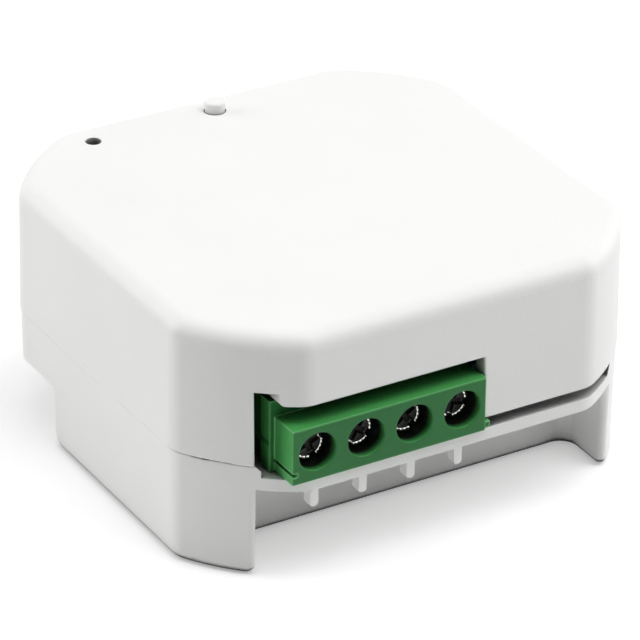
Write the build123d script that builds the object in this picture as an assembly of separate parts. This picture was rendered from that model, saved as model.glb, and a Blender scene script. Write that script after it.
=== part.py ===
"""Flush-mount relay module: two-part white housing, circuit board, four-pole screw terminal, relay.

All lengths are millimetres. +Z is up, the terminal faces -Y, and the origin is the middle of the
face that the module rests on.
"""
import os
from math import radians, sqrt, tan

from build123d import *

# Housing outline: a square with cut corners, widest at the seam between base and lid
BODY_WIDTH = 47.4
BODY_DEPTH = 47.4
BODY_HEIGHT = 24.5
LID_HEIGHT = 13.1
CORNER_CUT = 8.8
CORNER_BULGE = 0.93
CORNER_BLEND = 3.0
DRAFT_ANGLE = 0.8
WALL = 1.6
FLOOR_THICK = 1.5
LID_TOP_THICK = 1.6
TOP_EDGE_ROUND = 1.7
BOTTOM_EDGE_ROUND = 0.8
BASE_SET_IN = 0.1
BACK_EDGE_ROUND = 1.6
SEAM_EDGE_ROUND = 0.18
CUT_OVERRUN = 1.0

# Step under the back of the base
STEP_LENGTH = 14.7
STEP_DROP = 5.05

# Bay for the wires, under the terminal
LEFT_LEG_WIDTH = 5.45
RIGHT_LEG_WIDTH = 4.95
BAY_BACK_GAP = 0.125
BAY_CORNER_ROUND = 1.5
LEG_EDGE_ROUND = 0.5
LEG_TOP_CUT = 0.4
FRONT_GAP = 1.1
FRONT_GAP_SET_IN = 4.5
FRONT_GAP_SLANT = 0.6
LEDGE_THICK = 1.25
RIB_WIDTH = 0.85
RIB_DEPTH = 1.1
RIB_DROP = 1.7
RIB_ROUND = 0.4

# Tongue of the base inside the lid, and its catches
TONGUE_THICK = 0.8
TONGUE_RISE = 2.9
TONGUE_ROOT = 2.4
FIT_GAP = 0.1
CATCH_REACH = 0.35
CATCH_LENGTH = 4.0
CATCH_HEIGHT = 1.2
CATCH_Y = 5.5
POST_THICK = 1.4
POST_WIDTH = 3.0
POST_CORNER_GAP = 2.4

# Opening in the front of the lid for the terminal
OPENING_SET_IN = 5.05
OPENING_RISE = 6.25
OPENING_ROUND = 0.5
NOTCH_WIDTH = 1.7
NOTCH_RISE = 1.2

# Circuit board
BOARD_DROP = 2.1
BOARD_THICK = 1.6
BOARD_EDGE_GAP = 0.35
PIN_SIDE = 0.6
PIN_HOLE_RADIUS = 0.55
PIN_RISE = 0.7

# Button and its switch
BUTTON_X = 0.15
BUTTON_SET_BACK = 3.75
BUTTON_RADIUS = 1.0
BUTTON_PROUD = 1.05
BUTTON_ROUND = 0.2
BUTTON_GAP = 0.08
FLANGE_RADIUS = 1.6
SWITCH_WIDTH = 4.0
SWITCH_DEPTH = 3.0
SWITCH_HEIGHT = 1.0
PLUNGER_RADIUS = 0.7
PLUNGER_PROUD = 0.5
PLUNGER_SUNK = 0.4
BUTTON_TRAVEL = 0.25

# Status light and its hole
LIGHT_SET_IN = 10.6
LIGHT_SET_BACK = 3.95
LIGHT_HOLE_RADIUS = 0.78
LIGHT_WIDTH = 2.0
LIGHT_DEPTH = 1.25
LIGHT_HEIGHT = 0.5
LENS_WIDTH = 1.2
LENS_HEIGHT = 0.4

# Terminal block
POLE_COUNT = 4
POLE_PITCH = 5.0
BLOCK_SET_IN = 7.08
BLOCK_PROUD = 0.4
BLOCK_SEAT_GAP = 0.1
BLOCK_SIDE_GAP = 0.1
NOSE_DEPTH = 3.25
NOSE_HEIGHT = 5.45
NOSE_ROUND = 0.12
BACK_CORNER_CUT = 0.5
SCREW_RISE = 2.85
WELL_RADIUS = 1.9
HEAD_SET_BACK = 1.6
HEAD_GAP = 0.2
HEAD_THICK = 1.2
HEAD_ROUND = 0.3
SLOT_WIDTH = 0.6
SLOT_DEPTH = 0.6
SHANK_RADIUS = 1.25
THREAD_GAP = 0.05
WEB_THICK = 0.6
PLAY = 0.05
POLE_WALL = 0.8
CAGE_SIDE = 0.55
CAGE_HEIGHT = 3.4
CAGE_PLATE = 1.0
CAGE_JAW = 0.7
CAGE_GUIDE_GAP = 0.1
THREAD_PITCH = 0.45
SCREW_TURNS = 4
JAW_CLOSED_GAP = 0.15
BAR_GAP = 0.25
BAR_THICK = 0.8
BLOCK_WALL = 0.6
WIRE_RADIUS = 1.3
KEY_REACH = 0.45
KEY_RISE = 0.3
GROOVE_RISE = 0.8
GROOVE_HEIGHT = 0.4
GROOVE_DEPTH = 0.5
SIDE_RIB_REACH = 0.55
SIDE_RIB_DEPTH = 1.6
SIDE_RIB_ROUND = 0.12
SIDE_RIB_TOP_GAP = 0.15

# Parts hung under the board share this gap between neighbours
PART_GAP = 0.8

# Relay case and header
RELAY_LENGTH = 15.4
RELAY_WIDTH = 11.4
RELAY_FLOOR_GAP = 2.5
RELAY_SKIN = 0.8
RELAY_HEADER = 2.0
RELAY_ROUND = 0.6

# Relay coil and magnet
BOBBIN_FLANGE = 0.7
BOBBIN_TUBE_WALL = 0.5
BOBBIN_SIDE_GAP = 0.4
IRON_RADIUS = 1.3
IRON_PROUD = 0.4
WINDING_INSET = 0.3
YOKE_THICK = 1.1
YOKE_EDGE_GAP = 0.9
YOKE_SIDE_GAP = 0.1
ARMATURE_THICK = 1.0
HINGE_GAP = 0.06
RELAY_STROKE = 2.5

# Relay contacts
BLADE_THICK = 0.3
BLADE_WIDTH = 4.0
BLADE_REACH = 2.9
CONTACT_RADIUS = 0.9
CONTACT_THICK = 0.5
CONTACT_INSET = 1.1
STRIP_GAP = 0.8
STRIP_THICK = 0.5
STRIP_WIDTH = 2.6
STRIP_EDGE_GAP = 0.5
STRIP_END_GAP = 0.8
STRIP_FLOOR_GAP = 0.45

# Transformer
CORE_LENGTH = 10.0
CORE_WIDTH = 4.8
CORE_FLOOR_GAP = 5.3
CORE_LIMB = 1.3
FORMER_WIDTH = 8.4
FORMER_BASE = 2.6
FORMER_FLANGE = 0.7
FORMER_TUBE = 0.5
COIL_GAP = 0.3
LIMB_RADIUS = 1.5

# Capacitors, coil, fuse resistor and varistor
INPUT_CAP_RADIUS = 3.8
INPUT_CAP_FLOOR_GAP = 1.0
OUTPUT_CAP_RADIUS = 2.5
OUTPUT_CAP_FLOOR_GAP = 1.95
CAP_SEAL = 0.8
CAP_GROOVE = 0.3
FILM_LENGTH = 10.0
FILM_WIDTH = 4.0
FILM_HEIGHT = 9.0
FILM_ROUND = 0.5
CHOKE_RADIUS = 2.2
CHOKE_HEIGHT = 6.0
CHOKE_WAIST_RADIUS = 1.4
CHOKE_FLANGE = 0.9
FUSE_RADIUS = 1.5
FUSE_LENGTH = 7.0
FUSE_LEAD = 1.0
FUSE_LEAD_RADIUS = 0.3
VARISTOR_RADIUS = 3.6
VARISTOR_THICK = 3.4
VARISTOR_ROUND = 0.8

# Flat chips
CHIP_LENGTH = 4.8
CHIP_WIDTH = 3.8
CHIP_HEIGHT = 1.5
CHIP_LEG_WIDTH = 0.45
CHIP_LEG_REACH = 0.8
CHIP_LEG_THICK = 0.25
CHIP_LEG_COUNT = 4

# Radio board
RADIO_LENGTH = 16.0
RADIO_FLOOR_GAP = 1.95
RADIO_THICK = 0.8
SHIELD_LENGTH = 10.4
SHIELD_TOP_GAP = 0.6
SHIELD_DEPTH = 1.6
AERIAL_TRACK = 0.5
AERIAL_THICK = 0.1
AERIAL_PITCH = 1.2
AERIAL_FINGERS = 4

# Heights and places worked out from the sizes above
RIGHT_X = BODY_WIDTH / 2
LEFT_X = -RIGHT_X
BACK_Y = BODY_DEPTH / 2
FRONT_Y = -BACK_Y
CORNER_CHORD = CORNER_CUT * sqrt(2)
CORNER_RADIUS = (CORNER_CHORD**2 / 4 + CORNER_BULGE**2) / (2 * CORNER_BULGE)
CORNER_SHIFT = (CORNER_RADIUS - CORNER_BULGE) / sqrt(2)
CORNER_X = RIGHT_X - CORNER_CUT / 2 - CORNER_SHIFT
CORNER_Y = BACK_Y - CORNER_CUT / 2 - CORNER_SHIFT
SEAM_Z = BODY_HEIGHT - LID_HEIGHT
LID_UNDER_Z = BODY_HEIGHT - LID_TOP_THICK
BOARD_TOP_Z = LID_UNDER_Z - BOARD_DROP
BOARD_Z = BOARD_TOP_Z - BOARD_THICK
LEDGE_TOP_Z = SEAM_Z - FRONT_GAP
LEDGE_Z = LEDGE_TOP_Z - LEDGE_THICK
STEP_Y = BACK_Y - STEP_LENGTH
STEP_Z = SEAM_Z - STEP_DROP
STEP_FLOOR_Z = STEP_Z + FLOOR_THICK
BAY_LEFT = LEFT_X + LEFT_LEG_WIDTH
BAY_RIGHT = RIGHT_X - RIGHT_LEG_WIDTH
TONGUE_INSET = WALL + FIT_GAP
POST_Y = BACK_Y - CORNER_CUT - POST_CORNER_GAP
BUTTON_Y = BACK_Y - BUTTON_SET_BACK
LIGHT_X = LEFT_X + LIGHT_SET_IN
LIGHT_Y = BACK_Y - LIGHT_SET_BACK

BLOCK_LEFT = LEFT_X + BLOCK_SET_IN
BLOCK_RIGHT = BLOCK_LEFT + POLE_COUNT * POLE_PITCH
HEAD_RADIUS = WELL_RADIUS - HEAD_GAP
CAGE_WIDTH = POLE_PITCH - POLE_WALL - 2 * CAGE_GUIDE_GAP
CAGE_WINDOW = CAGE_WIDTH - 2 * CAGE_SIDE
BAR_WIDTH = CAGE_WINDOW - 2 * BAR_GAP
BLOCK_FRONT_Y = FRONT_Y - BLOCK_PROUD
BLOCK_Z = LEDGE_TOP_Z + BLOCK_SEAT_GAP
NOSE_BACK_Y = BLOCK_FRONT_Y + NOSE_DEPTH
NOSE_TOP_Z = BLOCK_Z + NOSE_HEIGHT
SCREW_Z = BLOCK_Z + SCREW_RISE
CAGE_TRAVEL = THREAD_PITCH * SCREW_TURNS
HEAD_Y = BLOCK_FRONT_Y + HEAD_SET_BACK
WEB_Y = HEAD_Y + HEAD_THICK + PLAY
CHAMBER_Y = WEB_Y + WEB_THICK
CAGE_Y = CHAMBER_Y + PLAY + CAGE_TRAVEL
BAR_Y = CAGE_Y + CAGE_PLATE + 2 * PLAY
WIRE_Y = BAR_Y + BAR_THICK
JAW_Y = WIRE_Y + CAGE_TRAVEL + JAW_CLOSED_GAP
CAGE_BACK_Y = JAW_Y + CAGE_JAW
CHAMBER_BACK_Y = CAGE_BACK_Y + CAGE_GUIDE_GAP
BLOCK_BACK_Y = CHAMBER_BACK_Y + BLOCK_WALL
ENTRY_Y = (WIRE_Y + JAW_Y) / 2
BAY_BACK_Y = ENTRY_Y + WIRE_RADIUS + BAY_BACK_GAP
CAGE_Z = SCREW_Z - CAGE_HEIGHT / 2
KEY_Z = BLOCK_Z + KEY_RISE
KEY_TOP_Z = SEAM_Z - FIT_GAP
POLE_X = [BLOCK_LEFT + POLE_PITCH * (i + 0.5) for i in range(POLE_COUNT)]

OPENING_TOP_Z = SEAM_Z + OPENING_RISE
OPENING_LEFT = LEFT_X + OPENING_SET_IN
OPENING_RIGHT = BLOCK_RIGHT + BLOCK_SIDE_GAP
OPENING_DEPTH = WALL * sqrt(2) + (CORNER_CUT - OPENING_SET_IN)

# The parts under the board start behind the bay and keep inside the posts
ROOM_FRONT_Y = BAY_BACK_Y + WALL + PART_GAP
ROOM_RIGHT = RIGHT_X - TONGUE_INSET - POST_THICK - PART_GAP
ROOM_LEFT = -ROOM_RIGHT


def span(low, high):
    """A box from its lowest corner to its highest corner."""
    middle = [(a + b) / 2 for a, b in zip(low, high)]
    return Pos(*middle) * Box(*[b - a for a, b in zip(low, high)])


def post(x, y, radius, low, high):
    """A round post along Z."""
    return Pos(x, y, (low + high) / 2) * Cylinder(radius, high - low)


def rod(x, z, radius, front, back):
    """A round rod along Y."""
    return Pos(x, (front + back) / 2, z) * Rot(90, 0, 0) * Cylinder(radius, back - front)


def outline(inset):
    """The housing's plan shape at the seam, drawn in by inset all round: its corners bulge a little."""
    radius = CORNER_RADIUS - inset
    half_x = RIGHT_X - inset
    half_y = BACK_Y - inset
    end_y = CORNER_Y + sqrt(radius**2 - (half_x - CORNER_X) ** 2)
    end_x = CORNER_X + sqrt(radius**2 - (half_y - CORNER_Y) ** 2)
    middle = radius / sqrt(2)
    arc = [(half_x, end_y), (CORNER_X + middle, CORNER_Y + middle), (end_x, half_y)]
    arcs = [arc, [(-x, y) for x, y in reversed(arc)], [(-x, -y) for x, y in arc]]
    arcs.append([(x, -y) for x, y in reversed(arc)])
    edges = [ThreePointArc(*points) for points in arcs]
    edges += [Line(arcs[i - 1][-1], arcs[i][0]) for i in range(len(arcs))]
    face = make_face(edges)
    return fillet(face.vertices(), CORNER_BLEND - inset)


def prism(inset, low, high):
    """The plan shape, drawn in by inset, between two heights."""
    return extrude(Pos(0, 0, low) * outline(inset), amount=high - low)


def ring(outer, inner, low, high):
    """A wall that follows the plan shape, between two insets and two heights."""
    return prism(outer, low, high) - prism(inner, low, high)


def step_keep_out():
    """The space under the step at the back of the base."""
    low = (-BODY_WIDTH, STEP_Y, -CUT_OVERRUN)
    high = (BODY_WIDTH, BODY_DEPTH, STEP_Z)
    return span(low, high)


def bay_space(grow, top):
    """The wire bay, grown by a wall where the inside of the base has to stay clear of it."""
    low = (BAY_LEFT - grow, -BODY_DEPTH, -CUT_OVERRUN)
    high = (BAY_RIGHT + grow, BAY_BACK_Y + grow, top)
    space = span(low, high)
    corners = space.edges().filter_by(Axis.Z).group_by(Axis.Y)[-1]
    return fillet(corners, BAY_CORNER_ROUND + grow)


def leg_edges(shell):
    """The upright edge at the front of each leg, beside the wire bay."""
    edges = []
    for edge in shell.edges():
        upright = abs((edge @ 0).Z - (edge @ 1).Z) > LEDGE_Z / 2
        middle = edge @ 0.5
        beside_bay = BAY_LEFT - PLAY < middle.X < BAY_RIGHT + PLAY
        if upright and beside_bay and middle.Y < FRONT_Y + CORNER_CUT:
            edges.append(edge)
    return edges


def base_shell():
    """Outside of the base less its inside, with the ledge left over the wire bay."""
    shell = extrude(Pos(0, 0, SEAM_Z) * outline(BASE_SET_IN), amount=-SEAM_Z, taper=DRAFT_ANGLE)
    shell -= step_keep_out()
    back_edge = shell.edges().group_by(Axis.Z)[0].sort_by(Axis.Y)[-1]
    shell = fillet(back_edge, BACK_EDGE_ROUND)
    shell -= bay_space(0, LEDGE_Z)
    shell = fillet(leg_edges(shell), LEG_EDGE_ROUND)
    bottom = shell.edges().group_by(Axis.Z)[0]
    shell = fillet(bottom, BOTTOM_EDGE_ROUND)
    shell = fillet(shell.edges().group_by(Axis.Z)[-1], SEAM_EDGE_ROUND)
    inside = prism(WALL, FLOOR_THICK, SEAM_Z + CUT_OVERRUN)
    inside -= span(
        (-BODY_WIDTH, STEP_Y - WALL, 0),
        (BODY_WIDTH, BODY_DEPTH, STEP_FLOOR_Z),
    )
    inside -= bay_space(WALL, LEDGE_TOP_Z)
    return shell - inside


def board_posts():
    """Four posts that rise from the base and carry the board."""
    posts = None
    for side in (-1, 1):
        for y in (-POST_Y, POST_Y):
            outer_x = side * (RIGHT_X - TONGUE_INSET)
            inner_x = outer_x - side * POST_THICK
            bar = span(
                (min(outer_x, inner_x), y - POST_WIDTH / 2, SEAM_Z - TONGUE_ROOT),
                (max(outer_x, inner_x), y + POST_WIDTH / 2, BOARD_Z),
            )
            posts = bar if posts is None else posts + bar
    return posts


def catches(grow):
    """Wedges on the tongue that snap into the lid, or, grown, the pockets that take them."""
    face_x = RIGHT_X - TONGUE_INSET
    z = SEAM_Z + TONGUE_RISE / 2
    wedge = Polygon(
        (face_x - grow - TONGUE_THICK / 2, z - CATCH_HEIGHT / 2 - grow),
        (face_x + CATCH_REACH + grow, z - CATCH_HEIGHT / 2 - grow),
        (face_x + CATCH_REACH + grow, z + grow),
        (face_x - grow - TONGUE_THICK / 2, z + CATCH_HEIGHT / 2 + grow),
        align=None,
    )
    bar = extrude(Plane.XZ * wedge, amount=(CATCH_LENGTH / 2 + grow), both=True)
    one_side = Pos(0, CATCH_Y, 0) * bar + Pos(0, -CATCH_Y, 0) * bar
    return one_side + mirror(one_side, about=Plane.YZ)


def front_gap():
    """The gap between ledge and lid, from the cut corner of the left leg to a slant at the right."""
    right = RIGHT_X - FRONT_GAP_SET_IN
    top = SEAM_Z + TONGUE_RISE + CUT_OVERRUN
    shape = Polygon(
        (BAY_LEFT, LEDGE_TOP_Z),
        (right - FRONT_GAP_SLANT, LEDGE_TOP_Z),
        (right, SEAM_Z),
        (right, top),
        (BAY_LEFT - LEG_TOP_CUT, top),
        (BAY_LEFT - LEG_TOP_CUT, SEAM_Z),
        (BAY_LEFT, SEAM_Z - LEG_TOP_CUT),
        align=None,
    )
    return extrude(Plane.XZ.offset(-BAY_BACK_Y) * shape, amount=BAY_BACK_Y + BODY_DEPTH, dir=(0, -1, 0))


def base():
    """Lower housing: hollow legs beside the wire bay, ledge with wire holes, tongue and posts."""
    body = base_shell()
    inner = TONGUE_INSET + TONGUE_THICK
    body += ring(WALL, inner, SEAM_Z - TONGUE_ROOT, SEAM_Z)
    body += ring(TONGUE_INSET, inner, SEAM_Z - TONGUE_ROOT, SEAM_Z + TONGUE_RISE)
    body -= front_gap()
    body += board_posts()
    body += catches(0)
    for x in POLE_X:
        body -= post(x, ENTRY_Y, WIRE_RADIUS, LEDGE_Z - CUT_OVERRUN, LEDGE_TOP_Z + CUT_OVERRUN)
        body += rib(x)
    return body


def rib(x):
    """A short finger under the front edge of the ledge, in line with a pole."""
    front = FRONT_Y + BASE_SET_IN + tan(radians(DRAFT_ANGLE)) * (SEAM_Z - LEDGE_Z)
    finger = span(
        (x - RIB_WIDTH / 2, front, LEDGE_Z - RIB_DROP),
        (x + RIB_WIDTH / 2, front + RIB_DEPTH, LEDGE_Z),
    )
    tips = finger.edges().filter_by(Axis.Y).group_by(Axis.Z)[0]
    return fillet(tips, RIB_ROUND)


def lid_opening():
    """The cut in the front of the lid: a step up at the left and a rounded corner beside it."""
    left = OPENING_LEFT
    low = SEAM_Z - CUT_OVERRUN
    notch_right = left + NOTCH_WIDTH
    shape = Polygon(
        (left, low),
        (OPENING_RIGHT, low),
        (OPENING_RIGHT, OPENING_TOP_Z),
        (notch_right, OPENING_TOP_Z),
        (notch_right, OPENING_TOP_Z + NOTCH_RISE),
        (left, OPENING_TOP_Z + NOTCH_RISE),
        align=None,
    )
    corner = shape.vertices().sort_by_distance((notch_right, OPENING_TOP_Z, 0))[0]
    shape = fillet(corner, OPENING_ROUND)
    back = FRONT_Y + OPENING_DEPTH + WALL
    return extrude(Plane.XZ.offset(-back) * shape, amount=back + BODY_DEPTH, dir=(0, -1, 0))


def lid_rim_edges(block):
    """Edges on the outer face of the lid along its rim and round the terminal opening."""
    core = prism(WALL / 2, 0, BODY_HEIGHT).solid()
    highest = OPENING_TOP_Z + NOTCH_RISE + PLAY
    low_edges = [e for e in block.edges() if max((e @ 0).Z, (e @ 1).Z) < highest]
    return [e for e in low_edges if not core.is_inside(e @ 0.5)]


def lid():
    """Upper housing: flat top with soft edges, terminal opening, button hole and light hole."""
    height = BODY_HEIGHT - SEAM_Z
    block = extrude(Pos(0, 0, SEAM_Z) * outline(0), amount=height, taper=DRAFT_ANGLE)
    block = fillet(block.edges().group_by(Axis.Z)[-1], TOP_EDGE_ROUND)
    block -= lid_opening()
    block = fillet(lid_rim_edges(block), SEAM_EDGE_ROUND)
    body = block - prism(WALL, SEAM_Z - CUT_OVERRUN, LID_UNDER_Z)
    top = BODY_HEIGHT + CUT_OVERRUN
    body -= post(BUTTON_X, BUTTON_Y, BUTTON_RADIUS + BUTTON_GAP, LID_UNDER_Z - CUT_OVERRUN, top)
    body -= post(LIGHT_X, LIGHT_Y, LIGHT_HOLE_RADIUS, LID_UNDER_Z - CUT_OVERRUN, top)
    body -= catches(FIT_GAP)
    return body + hold_downs()


def hold_downs():
    """Four ribs inside the lid that press the board onto the posts."""
    ribs = None
    for side in (-1, 1):
        for y in (-POST_Y, POST_Y):
            outer_x = side * (RIGHT_X - WALL)
            inner_x = outer_x - side * POST_THICK
            bar = span(
                (min(outer_x, inner_x), y - POST_WIDTH / 2, BOARD_TOP_Z),
                (max(outer_x, inner_x), y + POST_WIDTH / 2, LID_UNDER_Z),
            )
            ribs = bar if ribs is None else ribs + bar
    return ribs


def button_cap():
    """Cap with a flange under the lid, resting on the switch plunger."""
    flange_z = BOARD_TOP_Z + SWITCH_HEIGHT + PLUNGER_PROUD
    top = BODY_HEIGHT + BUTTON_PROUD
    cap = post(BUTTON_X, BUTTON_Y, BUTTON_RADIUS, flange_z, top)
    cap = fillet(cap.edges().group_by(Axis.Z)[-1], BUTTON_ROUND)
    return cap + post(BUTTON_X, BUTTON_Y, FLANGE_RADIUS, flange_z, LID_UNDER_Z - PLAY)


def switch_plunger():
    """The part of the push switch that the cap presses."""
    face = BOARD_TOP_Z + SWITCH_HEIGHT
    return post(BUTTON_X, BUTTON_Y, PLUNGER_RADIUS, face - PLUNGER_SUNK, face + PLUNGER_PROUD)


def switch_body():
    """Flat push switch on the board, with the plunger's well."""
    body = span(
        (BUTTON_X - SWITCH_WIDTH / 2, BUTTON_Y - SWITCH_DEPTH / 2, BOARD_TOP_Z),
        (BUTTON_X + SWITCH_WIDTH / 2, BUTTON_Y + SWITCH_DEPTH / 2, BOARD_TOP_Z + SWITCH_HEIGHT),
    )
    top = BOARD_TOP_Z + SWITCH_HEIGHT
    depth = PLUNGER_SUNK + BUTTON_TRAVEL + PLAY
    return body - post(BUTTON_X, BUTTON_Y, PLUNGER_RADIUS + PLAY, top - depth, top + CUT_OVERRUN)


def status_light():
    """Small light on the board, straight under its hole in the lid."""
    base_top = BOARD_TOP_Z + LIGHT_HEIGHT
    carrier = span(
        (LIGHT_X - LIGHT_WIDTH / 2, LIGHT_Y - LIGHT_DEPTH / 2, BOARD_TOP_Z),
        (LIGHT_X + LIGHT_WIDTH / 2, LIGHT_Y + LIGHT_DEPTH / 2, base_top),
    )
    lens = span(
        (LIGHT_X - LENS_WIDTH / 2, LIGHT_Y - LIGHT_DEPTH / 2, base_top),
        (LIGHT_X + LENS_WIDTH / 2, LIGHT_Y + LIGHT_DEPTH / 2, base_top + LENS_HEIGHT),
    )
    return carrier + lens


def circuit_board():
    """Board that fills the lid's plan shape, with a hole for each pin."""
    board = prism(WALL + BOARD_EDGE_GAP, BOARD_Z, BOARD_TOP_Z)
    for x, y in ALL_PINS:
        board -= post(x, y, PIN_HOLE_RADIUS, BOARD_Z - CUT_OVERRUN, BOARD_TOP_Z + CUT_OVERRUN)
    return board


def with_pins(body, places):
    """A part with square pins from the underside of the board to just above it."""
    for x, y in places:
        body += span(
            (x - PIN_SIDE / 2, y - PIN_SIDE / 2, BOARD_Z),
            (x + PIN_SIDE / 2, y + PIN_SIDE / 2, BOARD_TOP_Z + PIN_RISE),
        )
    return body


def terminal_housing():
    """Green block: a low nose with the screw wells, and a tall back that meets the board."""
    nose = span((BLOCK_LEFT, BLOCK_FRONT_Y, BLOCK_Z), (BLOCK_RIGHT, NOSE_BACK_Y, NOSE_TOP_Z))
    nose = fillet(nose.faces().sort_by(Axis.Y)[0].edges(), NOSE_ROUND)
    back = span((BLOCK_LEFT, NOSE_BACK_Y, BLOCK_Z), (BLOCK_RIGHT, BLOCK_BACK_Y, BOARD_Z))
    back = chamfer(back.edges().filter_by(Axis.Z).group_by(Axis.Y)[0], BACK_CORNER_CUT)
    body = nose + back + side_rib() + key()
    body -= key_slot()
    half = CAGE_WIDTH / 2 + CAGE_GUIDE_GAP
    low = CAGE_Z - CAGE_GUIDE_GAP
    high = CAGE_Z + CAGE_HEIGHT + CAGE_GUIDE_GAP
    for x in POLE_X:
        body -= rod(x, SCREW_Z, WELL_RADIUS, BLOCK_FRONT_Y - CUT_OVERRUN, WEB_Y)
        body -= rod(x, SCREW_Z, SHANK_RADIUS + CAGE_GUIDE_GAP, WEB_Y, CHAMBER_Y)
        body -= span((x - half, CHAMBER_Y, low), (x + half, CHAMBER_BACK_Y, high))
        body -= span((x - half, CAGE_Y - CAGE_GUIDE_GAP, high), (x + half, CHAMBER_BACK_Y, BOARD_Z))
        body -= post(x, ENTRY_Y, WIRE_RADIUS, BLOCK_Z - CUT_OVERRUN, low)
    return body


def key():
    """Tongue on the right side, for joining blocks in a row, just under the lid's rim."""
    return span((BLOCK_RIGHT, BLOCK_FRONT_Y, KEY_Z), (BLOCK_RIGHT + KEY_REACH, NOSE_BACK_Y, KEY_TOP_Z))


def key_slot():
    """Groove along the left side, open at the front."""
    low = BLOCK_Z + GROOVE_RISE
    return span(
        (BLOCK_LEFT - CUT_OVERRUN, BLOCK_FRONT_Y - CUT_OVERRUN, low),
        (BLOCK_LEFT + GROOVE_DEPTH, NOSE_BACK_Y, low + GROOVE_HEIGHT),
    )


def side_rib():
    """Upright rib at the left of the tall back, seen through the notch in the lid."""
    top = OPENING_TOP_Z - SIDE_RIB_TOP_GAP
    low = (BLOCK_LEFT - SIDE_RIB_REACH, NOSE_BACK_Y, BLOCK_Z)
    rib_body = span(low, (BLOCK_LEFT + BACK_CORNER_CUT, NOSE_BACK_Y + SIDE_RIB_DEPTH, top))
    corner = rib_body.edges().filter_by(Axis.Z).sort_by_distance((low[0], low[1], top))[0]
    return fillet(corner, SIDE_RIB_ROUND)


def terminal_screw(x):
    """Clamp screw: round head with a cross and a slot, and a plain shank as deep as the bar."""
    back = HEAD_Y + HEAD_THICK
    head = rod(x, SCREW_Z, HEAD_RADIUS, HEAD_Y, back)
    head = fillet(head.edges().group_by(Axis.Y)[0], HEAD_ROUND)
    for angle in (0, 90):
        wing = Box(2 * HEAD_RADIUS, 2 * SLOT_DEPTH, SLOT_WIDTH)
        head -= Pos(x, HEAD_Y, SCREW_Z) * Rot(0, angle, 0) * wing
    return head + rod(x, SCREW_Z, SHANK_RADIUS, back, BAR_Y - PLAY)


def wire_cage(x):
    """Square cage: the screw pulls it forward and its jaw lifts the wire against the bar."""
    half = CAGE_WIDTH / 2
    high = CAGE_Z + CAGE_HEIGHT
    body = span((x - half, CAGE_Y, CAGE_Z), (x + half, CAGE_BACK_Y, high))
    body -= span(
        (x - CAGE_WINDOW / 2, CAGE_Y + CAGE_PLATE, CAGE_Z - CUT_OVERRUN),
        (x + CAGE_WINDOW / 2, JAW_Y, high + CUT_OVERRUN),
    )
    return body - rod(x, SCREW_Z, SHANK_RADIUS + THREAD_GAP, CAGE_Y - CUT_OVERRUN, CAGE_Y + CAGE_PLATE)


def contact_bar(x):
    """Flat bar through the cage, up to the board, where its pin is soldered."""
    bar = span(
        (x - BAR_WIDTH / 2, BAR_Y, CAGE_Z - CAGE_GUIDE_GAP),
        (x + BAR_WIDTH / 2, WIRE_Y, BOARD_Z),
    )
    return with_pins(bar, [(x, BAR_PIN_Y)])


RELAY_RIGHT = ROOM_RIGHT
RELAY_LEFT = RELAY_RIGHT - RELAY_LENGTH
RELAY_Y = ROOM_FRONT_Y + RELAY_WIDTH / 2
RELAY_Z = FLOOR_THICK + RELAY_FLOOR_GAP
HEADER_Z = BOARD_Z - RELAY_HEADER
YOKE_LEFT = RELAY_LEFT + RELAY_SKIN + YOKE_SIDE_GAP
YOKE_WIDTH = RELAY_WIDTH - 2 * (RELAY_SKIN + YOKE_EDGE_GAP)
YOKE_Z = HEADER_Z - YOKE_THICK
BOBBIN_LEFT = YOKE_LEFT + YOKE_THICK + BOBBIN_SIDE_GAP
STRIP_X = RELAY_RIGHT - RELAY_SKIN - STRIP_END_GAP - STRIP_THICK
STRIP_SIDE = RELAY_WIDTH / 2 - RELAY_SKIN - STRIP_EDGE_GAP
BLADE_RIGHT = STRIP_X - STRIP_GAP
BOBBIN_RIGHT = BLADE_RIGHT - BLADE_REACH
BOBBIN_SIDE = BOBBIN_RIGHT - BOBBIN_LEFT
BOBBIN_TUBE_RADIUS = IRON_RADIUS + BOBBIN_TUBE_WALL
WINDING_RADIUS = BOBBIN_SIDE / 2 - WINDING_INSET
COIL_X = (BOBBIN_LEFT + BOBBIN_RIGHT) / 2
CONTACT_X = BLADE_RIGHT - CONTACT_INSET
PIVOT_X = YOKE_LEFT + YOKE_THICK / 2
STROKE_SLOPE = tan(radians(RELAY_STROKE))

# Relay heights, from the case floor up: contact strip, contacts, blade, armature, coil
CLOSED_STRIP_Z = RELAY_Z + RELAY_SKIN + STRIP_FLOOR_GAP
CLOSED_CONTACT_Z = CLOSED_STRIP_Z + STRIP_THICK + CONTACT_THICK
BLADE_Z = CLOSED_CONTACT_Z + PLAY + CONTACT_THICK
ARMATURE_Z = BLADE_Z + BLADE_THICK
ARMATURE_TOP_Z = ARMATURE_Z + ARMATURE_THICK
POLE_FACE_Z = ARMATURE_TOP_Z + (COIL_X + IRON_RADIUS - PIVOT_X) * STROKE_SLOPE + PLAY
BOBBIN_Z = POLE_FACE_Z + IRON_PROUD
OPEN_CONTACT_Z = ARMATURE_Z + CONTACT_THICK + (CONTACT_X + CONTACT_RADIUS - PIVOT_X) * STROKE_SLOPE + PLAY


def relay_cover():
    """Relay case, open towards the board."""
    case = span(
        (RELAY_LEFT, RELAY_Y - RELAY_WIDTH / 2, RELAY_Z),
        (RELAY_RIGHT, RELAY_Y + RELAY_WIDTH / 2, BOARD_Z),
    )
    case = fillet(case.edges().filter_by(Axis.Z), RELAY_ROUND)
    return case - relay_inside(BOARD_Z + CUT_OVERRUN)


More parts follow.
